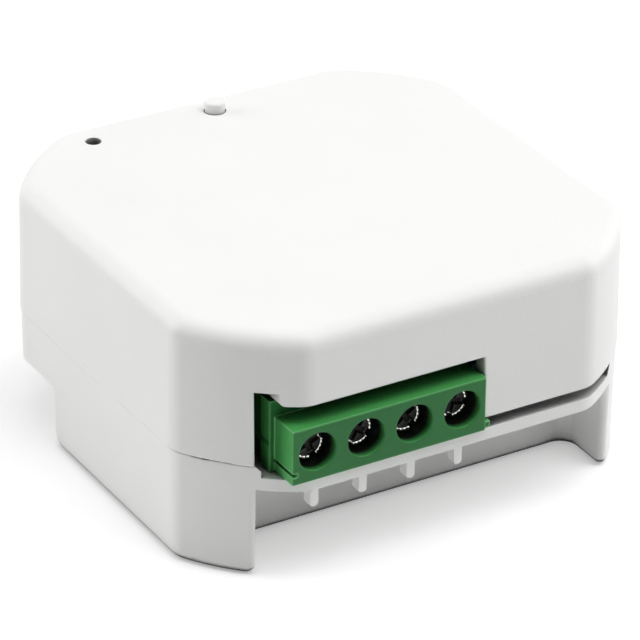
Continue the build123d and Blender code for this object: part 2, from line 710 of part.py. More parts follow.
def relay_inside(top):
    """The space inside the relay case up to a height."""
    half = RELAY_WIDTH / 2 - RELAY_SKIN
    return span(
        (RELAY_LEFT + RELAY_SKIN, RELAY_Y - half, RELAY_Z + RELAY_SKIN),
        (RELAY_RIGHT - RELAY_SKIN, RELAY_Y + half, top),
    )


def relay_header():
    """Plate that closes the relay and carries its pins."""
    plate = relay_inside(BOARD_Z) - span(
        (RELAY_LEFT, RELAY_Y - RELAY_WIDTH, RELAY_Z),
        (RELAY_RIGHT, RELAY_Y + RELAY_WIDTH, HEADER_Z),
    )
    return with_pins(plate, RELAY_PINS)


def relay_yoke():
    """Bent iron: one arm under the header, one down beside the coil to the armature's edge."""
    half = YOKE_WIDTH / 2
    arm = span((YOKE_LEFT, RELAY_Y - half, YOKE_Z), (BOBBIN_RIGHT, RELAY_Y + half, HEADER_Z))
    leg = span(
        (YOKE_LEFT, RELAY_Y - half, ARMATURE_TOP_Z + HINGE_GAP),
        (YOKE_LEFT + YOKE_THICK, RELAY_Y + half, YOKE_Z),
    )
    return arm + leg


def relay_bobbin():
    """Coil former: a tube between two square flanges."""
    half = BOBBIN_SIDE / 2
    top = span((BOBBIN_LEFT, RELAY_Y - half, YOKE_Z - BOBBIN_FLANGE), (BOBBIN_RIGHT, RELAY_Y + half, YOKE_Z))
    low_top = BOBBIN_Z + BOBBIN_FLANGE
    low = span((BOBBIN_LEFT, RELAY_Y - half, BOBBIN_Z), (BOBBIN_RIGHT, RELAY_Y + half, low_top))
    tube = post(COIL_X, RELAY_Y, BOBBIN_TUBE_RADIUS, BOBBIN_Z, YOKE_Z)
    return top + low + tube - post(COIL_X, RELAY_Y, IRON_RADIUS, BOBBIN_Z, YOKE_Z)


def relay_winding():
    """Copper winding on the coil former."""
    low = BOBBIN_Z + BOBBIN_FLANGE
    high = YOKE_Z - BOBBIN_FLANGE
    turns = post(COIL_X, RELAY_Y, WINDING_RADIUS, low, high)
    return turns - post(COIL_X, RELAY_Y, BOBBIN_TUBE_RADIUS, low, high)


def relay_core():
    """Iron core through the coil, proud of it at the pole face."""
    return post(COIL_X, RELAY_Y, IRON_RADIUS, POLE_FACE_Z, YOKE_Z)


def relay_armature():
    """Iron plate that rocks on the yoke's edge and is pulled up to the pole face."""
    half = YOKE_WIDTH / 2
    return span(
        (YOKE_LEFT, RELAY_Y - half, ARMATURE_Z),
        (BOBBIN_RIGHT, RELAY_Y + half, ARMATURE_TOP_Z),
    )


def relay_blade():
    """Springy strip under the armature with the moving contact at its end."""
    half = BLADE_WIDTH / 2
    strip = span((COIL_X, RELAY_Y - half, BLADE_Z), (BLADE_RIGHT, RELAY_Y + half, ARMATURE_Z))
    low = BLADE_Z - CONTACT_THICK
    return strip + post(CONTACT_X, RELAY_Y, CONTACT_RADIUS, low, ARMATURE_Z + CONTACT_THICK)


def fixed_contact(face_z, foot_z, side):
    """Contact strip from the header, bent under or over the moving contact."""
    near = RELAY_Y - side * CONTACT_RADIUS
    far = RELAY_Y + side * STRIP_SIDE
    inner = RELAY_Y + side * (STRIP_SIDE - STRIP_WIDTH)
    low_y, high_y = sorted((near, far))
    foot = span(
        (CONTACT_X - CONTACT_RADIUS, low_y, foot_z),
        (STRIP_X + STRIP_THICK, high_y, foot_z + STRIP_THICK),
    )
    low_y, high_y = sorted((inner, far))
    upright = span((STRIP_X, low_y, foot_z), (STRIP_X + STRIP_THICK, high_y, HEADER_Z))
    low, high = sorted((face_z, foot_z + STRIP_THICK / 2))
    return foot + upright + post(CONTACT_X, RELAY_Y, CONTACT_RADIUS, low, high)


def relay_open_contact():
    """Fixed contact above the blade, met when the relay is on."""
    return fixed_contact(OPEN_CONTACT_Z, OPEN_CONTACT_Z + CONTACT_THICK, -1)


def relay_closed_contact():
    """Fixed contact below the blade, met when the relay is off."""
    return fixed_contact(CLOSED_CONTACT_Z, CLOSED_STRIP_Z, 1)


TRANSFORMER_LEFT = ROOM_LEFT
TRANSFORMER_X = TRANSFORMER_LEFT + CORE_LENGTH / 2
TRANSFORMER_Y = ROOM_FRONT_Y + FILM_WIDTH + PART_GAP + FORMER_WIDTH / 2
CORE_TOP_Z = BOARD_Z - FORMER_BASE
CORE_BASE_Z = FLOOR_THICK + CORE_FLOOR_GAP
WINDOW_TOP_Z = CORE_TOP_Z - CORE_LIMB
WINDOW_Z = CORE_BASE_Z + CORE_LIMB
COIL_RADIUS = CORE_LENGTH / 2 - CORE_LIMB - COIL_GAP


def transformer_core():
    """Ferrite core: a frame round the coil and a round limb through it."""
    half = CORE_WIDTH / 2
    right = TRANSFORMER_LEFT + CORE_LENGTH
    frame = span(
        (TRANSFORMER_LEFT, TRANSFORMER_Y - half, CORE_BASE_Z),
        (right, TRANSFORMER_Y + half, CORE_TOP_Z),
    )
    frame -= span(
        (TRANSFORMER_LEFT + CORE_LIMB, TRANSFORMER_Y - half - CUT_OVERRUN, WINDOW_Z),
        (right - CORE_LIMB, TRANSFORMER_Y + half + CUT_OVERRUN, WINDOW_TOP_Z),
    )
    return frame + post(TRANSFORMER_X, TRANSFORMER_Y, LIMB_RADIUS, WINDOW_Z, WINDOW_TOP_Z)


def transformer_former():
    """Coil former: a tube and two flanges inside the core, and a base plate with the pins."""
    half_x = CORE_LENGTH / 2 - CORE_LIMB - PLAY
    half_y = FORMER_WIDTH / 2
    x, y = TRANSFORMER_X, TRANSFORMER_Y
    plate = span(
        (TRANSFORMER_LEFT, y - half_y, CORE_TOP_Z),
        (TRANSFORMER_LEFT + CORE_LENGTH, y + half_y, BOARD_Z),
    )
    for side in (-1, 1):
        low_y, high_y = sorted((y + side * (CORE_WIDTH / 2 + PLAY), y + side * half_y))
        plate += span(
            (x - half_x, low_y, WINDOW_TOP_Z - FORMER_FLANGE),
            (x + half_x, high_y, CORE_TOP_Z),
        )
    for low in (WINDOW_Z, WINDOW_TOP_Z - FORMER_FLANGE):
        plate += span((x - half_x, y - half_y, low), (x + half_x, y + half_y, low + FORMER_FLANGE))
    plate += post(x, y, LIMB_RADIUS + FORMER_TUBE, WINDOW_Z, WINDOW_TOP_Z)
    plate -= post(x, y, LIMB_RADIUS, WINDOW_Z, WINDOW_TOP_Z)
    return with_pins(plate, TRANSFORMER_PINS)


def transformer_winding():
    """Taped winding between the flanges."""
    low = WINDOW_Z + FORMER_FLANGE
    high = WINDOW_TOP_Z - FORMER_FLANGE
    turns = post(TRANSFORMER_X, TRANSFORMER_Y, COIL_RADIUS, low, high)
    return turns - post(TRANSFORMER_X, TRANSFORMER_Y, LIMB_RADIUS + FORMER_TUBE, low, high)


# Left row, from the bay back: film capacitor, transformer, input capacitor
INPUT_CAP_X = ROOM_LEFT + INPUT_CAP_RADIUS
INPUT_CAP_Y = TRANSFORMER_Y + FORMER_WIDTH / 2 + PART_GAP + INPUT_CAP_RADIUS
INPUT_CAP_HEIGHT = BOARD_Z - STEP_FLOOR_Z - INPUT_CAP_FLOOR_GAP

# Middle row: choke, fuse resistor, output capacitor
MIDDLE_LEFT = ROOM_LEFT + max(CORE_LENGTH, FILM_LENGTH) + PART_GAP
MIDDLE_X = MIDDLE_LEFT + max(CHOKE_RADIUS, FUSE_RADIUS, OUTPUT_CAP_RADIUS)
CHOKE_Y = ROOM_FRONT_Y + CHOKE_RADIUS
FUSE_Y = CHOKE_Y + CHOKE_RADIUS + PART_GAP + FUSE_LEAD
FUSE_END_Y = FUSE_Y + FUSE_LENGTH + FUSE_LEAD
OUTPUT_CAP_Y = FUSE_END_Y + PIN_SIDE / 2 + PART_GAP + OUTPUT_CAP_RADIUS
OUTPUT_CAP_HEIGHT = BOARD_Z - STEP_FLOOR_Z - OUTPUT_CAP_FLOOR_GAP

# Right row: relay, varistor; the radio board stands along the back, the chips lie on the board
VARISTOR_X = RELAY_RIGHT - VARISTOR_RADIUS
VARISTOR_Y = RELAY_Y + RELAY_WIDTH / 2 + PART_GAP
RADIO_Y = BACK_Y - TONGUE_INSET - TONGUE_THICK - PART_GAP - SHIELD_DEPTH - RADIO_THICK
RADIO_HEIGHT = BOARD_Z - STEP_FLOOR_Z - RADIO_FLOOR_GAP
SHIELD_HEIGHT = RADIO_HEIGHT - PART_GAP - SHIELD_TOP_GAP
CHIP_Y = RADIO_Y - PART_GAP - CHIP_LEG_REACH - CHIP_WIDTH / 2


def can(x, y, radius, height, pins):
    """Round capacitor: a can on a narrower rubber seal, with a crimp groove."""
    low = BOARD_Z - height
    seal = post(x, y, radius - CAP_GROOVE, BOARD_Z - CAP_SEAL, BOARD_Z)
    body = post(x, y, radius, low, BOARD_Z - CAP_SEAL)
    body = fillet(body.edges().group_by(Axis.Z)[0], CAP_GROOVE)
    groove_z = BOARD_Z - 2 * CAP_SEAL
    groove = post(x, y, radius + CUT_OVERRUN, groove_z - CAP_GROOVE, groove_z)
    groove -= post(x, y, radius - CAP_GROOVE, groove_z - CAP_GROOVE, groove_z)
    return with_pins(body - groove + seal, pins)


def input_capacitor():
    """High-voltage storage capacitor."""
    return can(INPUT_CAP_X, INPUT_CAP_Y, INPUT_CAP_RADIUS, INPUT_CAP_HEIGHT, INPUT_CAP_PINS)


def output_capacitor():
    """Low-voltage storage capacitor."""
    return can(MIDDLE_X, OUTPUT_CAP_Y, OUTPUT_CAP_RADIUS, OUTPUT_CAP_HEIGHT, OUTPUT_CAP_PINS)


def film_capacitor():
    """Moulded film capacitor across the mains input."""
    body = span(
        (ROOM_LEFT, ROOM_FRONT_Y, BOARD_Z - FILM_HEIGHT),
        (ROOM_LEFT + FILM_LENGTH, ROOM_FRONT_Y + FILM_WIDTH, BOARD_Z),
    )
    return with_pins(fillet(body.edges().filter_by(Axis.Z), FILM_ROUND), FILM_PINS)


def varistor():
    """Surge disc, standing on edge against the board."""
    z = BOARD_Z - VARISTOR_RADIUS
    disc = rod(VARISTOR_X, z, VARISTOR_RADIUS, VARISTOR_Y, VARISTOR_Y + VARISTOR_THICK)
    disc = fillet(disc.edges(), VARISTOR_ROUND)
    stem = span(
        (VARISTOR_X - VARISTOR_RADIUS / 2, VARISTOR_Y + VARISTOR_ROUND, z),
        (VARISTOR_X + VARISTOR_RADIUS / 2, VARISTOR_Y + VARISTOR_THICK - VARISTOR_ROUND, BOARD_Z),
    )
    return with_pins(disc + stem, VARISTOR_PINS)


def fuse_resistor():
    """Round fuse resistor lying under the board on its bent leads."""
    z = BOARD_Z - FUSE_RADIUS
    body = rod(MIDDLE_X, z, FUSE_RADIUS, FUSE_Y, FUSE_Y + FUSE_LENGTH)
    body = fillet(body.edges().filter_by(GeomType.CIRCLE), FUSE_LEAD_RADIUS)
    body += rod(MIDDLE_X, z, FUSE_LEAD_RADIUS, FUSE_Y - FUSE_LEAD, FUSE_END_Y)
    for x, y in FUSE_PINS:
        body += span(
            (x - PIN_SIDE / 2, y - PIN_SIDE / 2, z - PIN_SIDE / 2),
            (x + PIN_SIDE / 2, y + PIN_SIDE / 2, BOARD_Z),
        )
    return with_pins(body, FUSE_PINS)


def choke_core():
    """Ferrite drum of the input filter coil."""
    low = BOARD_Z - CHOKE_HEIGHT
    drum = post(MIDDLE_X, CHOKE_Y, CHOKE_WAIST_RADIUS, low, BOARD_Z)
    drum += post(MIDDLE_X, CHOKE_Y, CHOKE_RADIUS, low, low + CHOKE_FLANGE)
    drum += post(MIDDLE_X, CHOKE_Y, CHOKE_RADIUS, BOARD_Z - CHOKE_FLANGE, BOARD_Z)
    return with_pins(drum, CHOKE_PINS)


def choke_winding():
    """Wire wound on the drum."""
    low = BOARD_Z - CHOKE_HEIGHT + CHOKE_FLANGE
    high = BOARD_Z - CHOKE_FLANGE
    turns = post(MIDDLE_X, CHOKE_Y, (CHOKE_RADIUS + CHOKE_WAIST_RADIUS) / 2, low, high)
    return turns - post(MIDDLE_X, CHOKE_Y, CHOKE_WAIST_RADIUS, low, high)


def chip(x):
    """Flat chip on top of the board with a row of legs on each side."""
    leg_top = BOARD_TOP_Z + CHIP_LEG_THICK
    half_x = CHIP_LENGTH / 2
    half_y = CHIP_WIDTH / 2
    body = span(
        (x - half_x, CHIP_Y - half_y, leg_top),
        (x + half_x, CHIP_Y + half_y, BOARD_TOP_Z + CHIP_HEIGHT),
    )
    pitch = CHIP_LENGTH / CHIP_LEG_COUNT
    reach = half_y + CHIP_LEG_REACH
    for i in range(CHIP_LEG_COUNT):
        leg_x = x - half_x + pitch * (i + 0.5)
        body += span(
            (leg_x - CHIP_LEG_WIDTH / 2, CHIP_Y - reach, BOARD_TOP_Z),
            (leg_x + CHIP_LEG_WIDTH / 2, CHIP_Y + reach, leg_top),
        )
    return body


def bridge_rectifier():
    """Chip that turns the mains into direct current."""
    return chip(CHIP_LENGTH)


def power_chip():
    """Chip that switches the transformer, beside the rectifier."""
    return chip(2 * (CHIP_LENGTH + PART_GAP))


def radio_board():
    """Upright board with the processor and radio, along the back of the main board."""
    half = RADIO_LENGTH / 2
    board = span((-half, RADIO_Y, BOARD_Z - RADIO_HEIGHT), (half, RADIO_Y + RADIO_THICK, BOARD_Z))
    return with_pins(board, RADIO_PINS)


def radio_shield():
    """Pressed metal can over the radio chips."""
    left = -RADIO_LENGTH / 2 + PART_GAP / 2
    low = BOARD_Z - RADIO_HEIGHT + PART_GAP
    y = RADIO_Y + RADIO_THICK
    return span((left, y, low), (left + SHIELD_LENGTH, y + SHIELD_DEPTH, low + SHIELD_HEIGHT))


def radio_aerial():
    """Folded copper track at the free end of the radio board."""
    y = RADIO_Y + RADIO_THICK
    left = -RADIO_LENGTH / 2 + PART_GAP + SHIELD_LENGTH
    right = RADIO_LENGTH / 2 - PART_GAP / 2
    low = BOARD_Z - RADIO_HEIGHT + PART_GAP
    track = None
    for i in range(AERIAL_FINGERS):
        z = low + i * AERIAL_PITCH
        finger = span((left, y, z), (right, y + AERIAL_THICK, z + AERIAL_TRACK))
        track = finger if track is None else track + finger
        if i + 1 < AERIAL_FINGERS:
            end = right - AERIAL_TRACK if i % 2 == 0 else left
            track += span((end, y, z), (end + AERIAL_TRACK, y + AERIAL_THICK, z + AERIAL_PITCH))
    return track


BAR_PIN_Y = (BAR_Y + WIRE_Y) / 2
BAR_PINS = [(x, BAR_PIN_Y) for x in POLE_X]
RELAY_PINS = [
    (RELAY_LEFT + 2 * RELAY_SKIN, RELAY_Y - YOKE_WIDTH / 2),
    (RELAY_LEFT + 2 * RELAY_SKIN, RELAY_Y + YOKE_WIDTH / 2),
    (COIL_X, RELAY_Y),
    (STRIP_X + STRIP_THICK / 2, RELAY_Y - STRIP_SIDE + STRIP_WIDTH / 2),
    (STRIP_X + STRIP_THICK / 2, RELAY_Y + STRIP_SIDE - STRIP_WIDTH / 2),
]
TRANSFORMER_PINS = [
    (TRANSFORMER_X + side * CORE_LENGTH / 3, TRANSFORMER_Y + end * FORMER_WIDTH / 3)
    for side in (-1, 1)
    for end in (-1, 1)
]
INPUT_CAP_PINS = [(INPUT_CAP_X + side * INPUT_CAP_RADIUS / 2, INPUT_CAP_Y) for side in (-1, 1)]
OUTPUT_CAP_PINS = [(MIDDLE_X + side * OUTPUT_CAP_RADIUS / 2, OUTPUT_CAP_Y) for side in (-1, 1)]
FILM_PINS = [
    (ROOM_LEFT + FILM_LENGTH / 2 + side * FILM_LENGTH / 3, ROOM_FRONT_Y + FILM_WIDTH / 2)
    for side in (-1, 1)
]
VARISTOR_PINS = [
    (VARISTOR_X + side * VARISTOR_RADIUS / 3, VARISTOR_Y + VARISTOR_THICK / 2) for side in (-1, 1)
]
FUSE_PINS = [(MIDDLE_X, FUSE_Y - FUSE_LEAD), (MIDDLE_X, FUSE_END_Y)]
CHOKE_PINS = [(MIDDLE_X + side * CHOKE_RADIUS / 2, CHOKE_Y) for side in (-1, 1)]
RADIO_PIN_SHARES = (-0.44, -0.3, 0.3, 0.44)
RADIO_PINS = [(share * RADIO_LENGTH, RADIO_Y + RADIO_THICK / 2) for share in RADIO_PIN_SHARES]
ALL_PINS = (
    BAR_PINS + RELAY_PINS + TRANSFORMER_PINS + INPUT_CAP_PINS + OUTPUT_CAP_PINS
    + FILM_PINS + VARISTOR_PINS + FUSE_PINS + CHOKE_PINS + RADIO_PINS
)

parts = {
    "base": base(),
    "lid": lid(),
    "button_cap": button_cap(),
    "switch_plunger": switch_plunger(),
    "switch_body": switch_body(),
    "status_light": status_light(),
    "circuit_board": circuit_board(),
    "terminal_housing": terminal_housing(),
    "relay_cover": relay_cover(),
    "relay_header": relay_header(),
    "relay_yoke": relay_yoke(),
    "relay_bobbin": relay_bobbin(),
    "relay_winding": relay_winding(),
    "relay_core": relay_core(),
    "relay_armature": relay_armature(),
    "relay_blade": relay_blade(),
    "relay_open_contact": relay_open_contact(),
    "relay_closed_contact": relay_closed_contact(),
    "transformer_core": transformer_core(),
    "transformer_former": transformer_former(),
    "transformer_winding": transformer_winding(),
    "input_capacitor": input_capacitor(),
    "output_capacitor": output_capacitor(),
    "film_capacitor": film_capacitor(),
    "varistor": varistor(),
    "fuse_resistor": fuse_resistor(),
    "choke_core": choke_core(),
    "choke_winding": choke_winding(),
    "bridge_rectifier": bridge_rectifier(),
    "power_chip": power_chip(),
    "radio_board": radio_board(),
    "radio_shield": radio_shield(),
    "radio_aerial": radio_aerial(),
}
for number, pole_x in enumerate(POLE_X, start=1):
    parts[f"terminal_screw_{number}"] = terminal_screw(pole_x)
    parts[f"wire_cage_{number}"] = wire_cage(pole_x)
    parts[f"contact_bar_{number}"] = contact_bar(pole_x)

os.makedirs("parts", exist_ok=True)
for name, solid in parts.items():
    export_step(solid, f"parts/{name}.step")
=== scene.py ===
"""Looks of the flush-mount relay module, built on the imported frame. Lengths are in metres."""
import math

import bmesh
import bpy
from mathutils import Matrix, Vector


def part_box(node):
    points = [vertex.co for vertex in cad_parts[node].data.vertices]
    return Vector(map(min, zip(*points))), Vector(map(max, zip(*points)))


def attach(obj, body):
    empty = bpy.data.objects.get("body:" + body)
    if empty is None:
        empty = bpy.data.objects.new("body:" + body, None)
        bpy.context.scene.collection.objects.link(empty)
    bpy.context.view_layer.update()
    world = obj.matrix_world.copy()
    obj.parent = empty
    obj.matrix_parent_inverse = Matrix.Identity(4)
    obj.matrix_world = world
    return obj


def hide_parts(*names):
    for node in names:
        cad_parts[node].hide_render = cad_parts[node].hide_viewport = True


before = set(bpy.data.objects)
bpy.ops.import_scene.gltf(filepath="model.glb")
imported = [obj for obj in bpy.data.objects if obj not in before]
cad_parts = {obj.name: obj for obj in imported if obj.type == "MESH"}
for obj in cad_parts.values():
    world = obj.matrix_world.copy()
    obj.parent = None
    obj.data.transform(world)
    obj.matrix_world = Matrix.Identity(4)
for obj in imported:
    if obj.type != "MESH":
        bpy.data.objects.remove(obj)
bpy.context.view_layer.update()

MM = 0.001

# Camera of the photograph
CAMERA_PLACE = Vector((-181.12, -305.50, 205.60)) * MM
CAMERA_AZIMUTH = math.radians(30.70)
CAMERA_ELEVATION = math.radians(28.70)
CAMERA_ROLL = math.radians(0.612)
CAMERA_LENS = 242.8
CAMERA_SENSOR = 36.0
CAMERA_NEAR = 10 * MM

# Studio light: name, place, size in metres, power in watts
LAMPS = [
    ("top_lamp", (0.0, 0.05, 0.60), 0.60, 1.90),
    ("top_right_lamp", (0.18, -0.18, 0.55), 0.40, 1.10),
    ("right_front_lamp", (0.34, -0.34, 0.45), 0.40, 0.85),
    ("right_lamp", (0.60, 0.0, 0.20), 0.50, 1.10),
    ("left_back_lamp", (-0.50, 0.40, 0.25), 0.50, 2.35),
]
LAMP_AIM = Vector((0, 0, 12)) * MM
WORLD_STRENGTH = 0.01

# Floor: width in metres, tone, roughness, and its own light towards the camera
FLOOR_SIZE = 4.0
FLOOR_TONE = (240, 240, 240)
FLOOR_ROUGH = 0.9
FLOOR_GLOW = 0.35

# Noise: scale per metre and detail
STAINS = (90, 3)
GLOSS_SPOTS = (400, 2)
METAL_STAINS = (900, 3)
METAL_GLOSS_SPOTS = (1500, 2)
METAL_MARKS = (5000, 2)

# Moulded grain: detail and roughness of its noise
GRAIN_DETAIL = (3, 0.6)

# Noise values at which the darker and the lighter tone are reached
TONE_SPAN = (0.3, 0.7)

# Painted edge highlights: agreement of the rounded and the plain normal, where the highlight is
# full and where it ends
EDGE_SAMPLES = 8
EDGE_HIGHLIGHT_FULL = 0.88
EDGE_PLAIN = 0.995

# White housing. Grain: scale and relief. Gaps, painted shade: reach, openness where the shade
# is full and where it ends, colour
WHITE_TONES = ((244, 244, 242), (246, 246, 245))
# Colour of the painted highlight on the white plastic's edges
WHITE_EDGE_HIGHLIGHT = (253, 253, 253)
WHITE_EDGE = 0.14 * MM
WHITE_GRAIN = (4200, 0.016 * MM)
WHITE_ROUGH = (0.42, 0.54)
WHITE_GAP_SHADE = (3.0 * MM, 0.32, 0.60, (0.012, 0.012, 0.012, 1.0))

# Green terminal block. Facing: how far a surface looks to the front, where the painted light on
# the top and ends is full and where it ends
GREEN_TONES = ((36, 109, 52), (44, 119, 60))
# Colour of the painted light on the block's top and ends
GREEN_SIDE_LIGHT = (78, 166, 88)
# Colour of the painted highlight on the green plastic's edges
GREEN_EDGE_HIGHLIGHT = (140, 216, 146)
GREEN_EDGE = 0.24 * MM
GREEN_GRAIN = (5200, 0.006 * MM)
GREEN_ROUGH = (0.28, 0.42)
GREEN_SPECULAR = 0.25
# Painted shade in the green block's gaps: reach, openness where it is full and where it ends,
# colour
GREEN_GAP_SHADE = (6.0 * MM, 0.05, 0.30, (0.001, 0.004, 0.0015, 1.0))
GREEN_FACING = (0.5, 0.95)

# Screw wells and their painted shade: radius, then spans outside the radius and behind the block's
# face
WELL_RADIUS = 1.9 * MM
WELL_EDGE = (0.02 * MM, 0.08 * MM)
WELL_SHADE = (0.1 * MM, 0.9 * MM)
# Colour of the painted shade deep in the wells
WELL_SHADE_COLOUR = (0.002, 0.004, 0.002, 1.0)
# Span outside the well's radius over which the painted edge highlight fades in
PLAIN_EDGE = (0.20 * MM, 0.30 * MM)

# Plastics, coatings and ferrite: darker and lighter tone, roughness, grain scale and relief
PLASTICS = {
    "black_plastic": ((28, 28, 29), (36, 36, 37), (0.40, 0.55), (9000, 0.005 * MM)),
    "board_green": ((16, 70, 36), (22, 84, 44), (0.22, 0.35), (3000, 0.004 * MM)),
    "relay_blue": ((30, 92, 160), (36, 102, 170), (0.28, 0.36), (9000, 0.004 * MM)),
    "tape_yellow": ((206, 172, 40), (220, 188, 60), (0.30, 0.40), (4000, 0.006 * MM)),
    "sleeve_black": ((24, 26, 40), (32, 34, 50), (0.25, 0.35), (4000, 0.004 * MM)),
    "film_case": ((200, 170, 50), (212, 184, 66), (0.40, 0.50), (6000, 0.005 * MM)),
    "varistor_blue": ((30, 84, 140), (40, 98, 156), (0.20, 0.30), (2500, 0.010 * MM)),
    "resistor_green": ((70, 120, 84), (84, 134, 96), (0.45, 0.55), (4000, 0.008 * MM)),
    "ferrite": ((52, 52, 54), (64, 64, 66), (0.45, 0.60), (5000, 0.008 * MM)),
    "lens": ((40, 40, 40), (52, 52, 51), (0.15, 0.22), (6000, 0.002 * MM)),
    "screw_dark": ((13, 12, 11), (26, 24, 22), (0.30, 0.48), (5000, 0.006 * MM)),
}

# Metals: darker and lighter tone, roughness, relief
METALS = {
    "screw_steel": ((96, 92, 86), (150, 146, 138), (0.28, 0.42), 0.004 * MM),
    # The rim: a lighter, glossier copy of the screw's steel, a painted highlight for the glints on
    # its teeth
    "screw_rim_highlight": ((214, 218, 210), (244, 246, 240), (0.12, 0.30), 0.004 * MM),
    "cage_steel": ((150, 150, 146), (190, 190, 186), (0.28, 0.40), 0.004 * MM),
    "brass": ((196, 168, 98), (214, 188, 120), (0.25, 0.38), 0.004 * MM),
    "iron": ((150, 150, 150), (180, 180, 180), (0.35, 0.50), 0.005 * MM),
    "tin": ((186, 188, 190), (206, 208, 210), (0.22, 0.34), 0.004 * MM),
    "copper": ((176, 98, 58), (200, 120, 74), (0.28, 0.40), 0.006 * MM),
}

# Material of each node; a number at the end of a node's name is left off
FINISHES = {
    "white_plastic": ("base", "lid", "button_cap"),
    "green_plastic": ("terminal_housing",),
    "black_plastic": (
        "switch_body", "switch_plunger", "relay_header", "relay_bobbin",
        "transformer_former", "bridge_rectifier", "power_chip",
    ),
    "board_green": ("circuit_board", "radio_board"),
    "relay_blue": ("relay_cover",),
    "tape_yellow": ("transformer_winding",),
    "sleeve_black": ("input_capacitor", "output_capacitor"),
    "film_case": ("film_capacitor",),
    "varistor_blue": ("varistor",),
    "resistor_green": ("fuse_resistor",),
    "ferrite": ("transformer_core", "choke_core"),
    "lens": ("status_light",),
    "screw_steel": ("terminal_screw",),
    "cage_steel": ("wire_cage",),
    "brass": ("contact_bar", "relay_blade", "relay_open_contact", "relay_closed_contact"),
    "iron": ("relay_core", "relay_yoke", "relay_armature"),
    "tin": ("radio_shield",),
    "copper": ("relay_winding", "choke_winding", "radio_aerial"),
}

# Clamp screws, in millimetres: head, its toothed rim and cross, and the thread
HEAD_RADIUS = 1.66
HEAD_THICK = 1.2
HEAD_SHOULDER = 0.35
RIM_OUTER = 1.42
RIM_INNER = 1.27
RIM_TEETH = 22
RIM_TOOTH = 0.10
FACE_SINK = 0.10
CROSS_WIDTH = 0.50
CROSS_SLOPE = 0.07
CROSS_DEPTH = 0.60
THREAD_ROOT = 1.0
THREAD_CREST = 1.24
THREAD_PITCH = 0.45

# Rings of points on the head's face, its rim and one turn of the thread, and points in a ring
FACE_RINGS = 16
RIM_RINGS = 3
THREAD_STEPS = 5
RING_POINTS = 132

# Angle of each screw's cross, and the materials of its head, rim and shank
SCREW_TURNS = (0.35, 1.05, 0.62, 1.32)
SCREW_FINISHES = ("screw_dark", "screw_rim_highlight", "screw_steel")
HEAD, RIM, SHANK = range(3)


def srgb(colour):
    """Linear colour from the 0 to 255 values of a screen colour."""
    shares = [value / 255 for value in colour]
    return (*(s / 12.92 if s <= 0.04045 else ((s + 0.055) / 1.055) ** 2.4 for s in shares), 1.0)


def new_material(name):
    """An empty node material and its two main nodes."""
    material = bpy.data.materials.new(name)
    material.use_nodes = True
    tree = material.node_tree
    shader = tree.nodes["Principled BSDF"]
    return material, tree, shader


def noise(tree, scale, detail, roughness=0.5):
    """Noise in the object's own space, so that it stays on the surface."""
    coords = tree.nodes.new("ShaderNodeTexCoord")
    texture = tree.nodes.new("ShaderNodeTexNoise")
    texture.inputs["Scale"].default_value = scale
    texture.inputs["Detail"].default_value = detail
    texture.inputs["Roughness"].default_value = roughness
    tree.links.new(coords.outputs["Object"], texture.inputs["Vector"])
    return texture


def map_range(tree, value, low, high, to_low=0.0, to_high=1.0):
    """Clamped map of a value's range."""
    spread = tree.nodes.new("ShaderNodeMapRange")
    sockets = ("From Min", "From Max", "To Min", "To Max")
    for name, number in zip(sockets, (low, high, to_low, to_high)):
        spread.inputs[name].default_value = number
    tree.links.new(value, spread.inputs["Value"])
    return spread.outputs["Result"]


def math_node(tree, operation, *values):
    """Math node whose inputs are sockets or numbers."""
    node = tree.nodes.new("ShaderNodeMath")
    node.operation = operation
    for socket, value in zip(node.inputs, values):
        if isinstance(value, (int, float)):
            socket.default_value = value
        else:
            tree.links.new(value, socket)
    return node.outputs["Value"]


def mix_base(tree, shader, factor, colour):
    """Puts a linear colour over the shader's base colour where the factor is 1."""
    mix = tree.nodes.new("ShaderNodeMix")
    mix.data_type = "RGBA"
    mix.inputs["B"].default_value = colour
    surface = shader.inputs["Base Color"].links[0].from_socket
    tree.links.new(factor, mix.inputs["Factor"])
    tree.links.new(surface, mix.inputs["A"])
    tree.links.new(mix.outputs["Result"], shader.inputs["Base Color"])


def vary_colour(tree, shader, texture, dark, light):
    """Base colour between two close tones, led by a texture."""
    ramp = tree.nodes.new("ShaderNodeValToRGB")
    dark_end, light_end = ramp.color_ramp.elements
    dark_end.color, dark_end.position = srgb(dark), TONE_SPAN[0]
    light_end.color, light_end.position = srgb(light), TONE_SPAN[1]
    tree.links.new(texture.outputs["Fac"], ramp.inputs["Fac"])
    tree.links.new(ramp.outputs["Color"], shader.inputs["Base Color"])


def vary_roughness(tree, shader, texture, low, high, gap_shade=0.0):
    """Roughness between two values, led by a texture, and full where the gaps get painted shade.
    """
    rough = map_range(tree, texture.outputs["Fac"], 0.0, 1.0, low, high)
    rough = math_node(tree, "MAXIMUM", rough, gap_shade)
    tree.links.new(rough, shader.inputs["Roughness"])


def add_bump(tree, shader, texture, distance):
    """Fine relief on the surface, distance in metres."""
    bump = tree.nodes.new("ShaderNodeBump")
    bump.inputs["Distance"].default_value = distance
    bump.inputs["Strength"].default_value = 1.0
    tree.links.new(texture.outputs["Fac"], bump.inputs["Height"])
    tree.links.new(bump.outputs["Normal"], shader.inputs["Normal"])
    return bump


def edge_bevel(tree, radius):
    """Normals as if the moulded edges were slightly rounded."""
    edge = tree.nodes.new("ShaderNodeBevel")
    edge.samples = EDGE_SAMPLES
    edge.inputs["Radius"].default_value = radius
    return edge


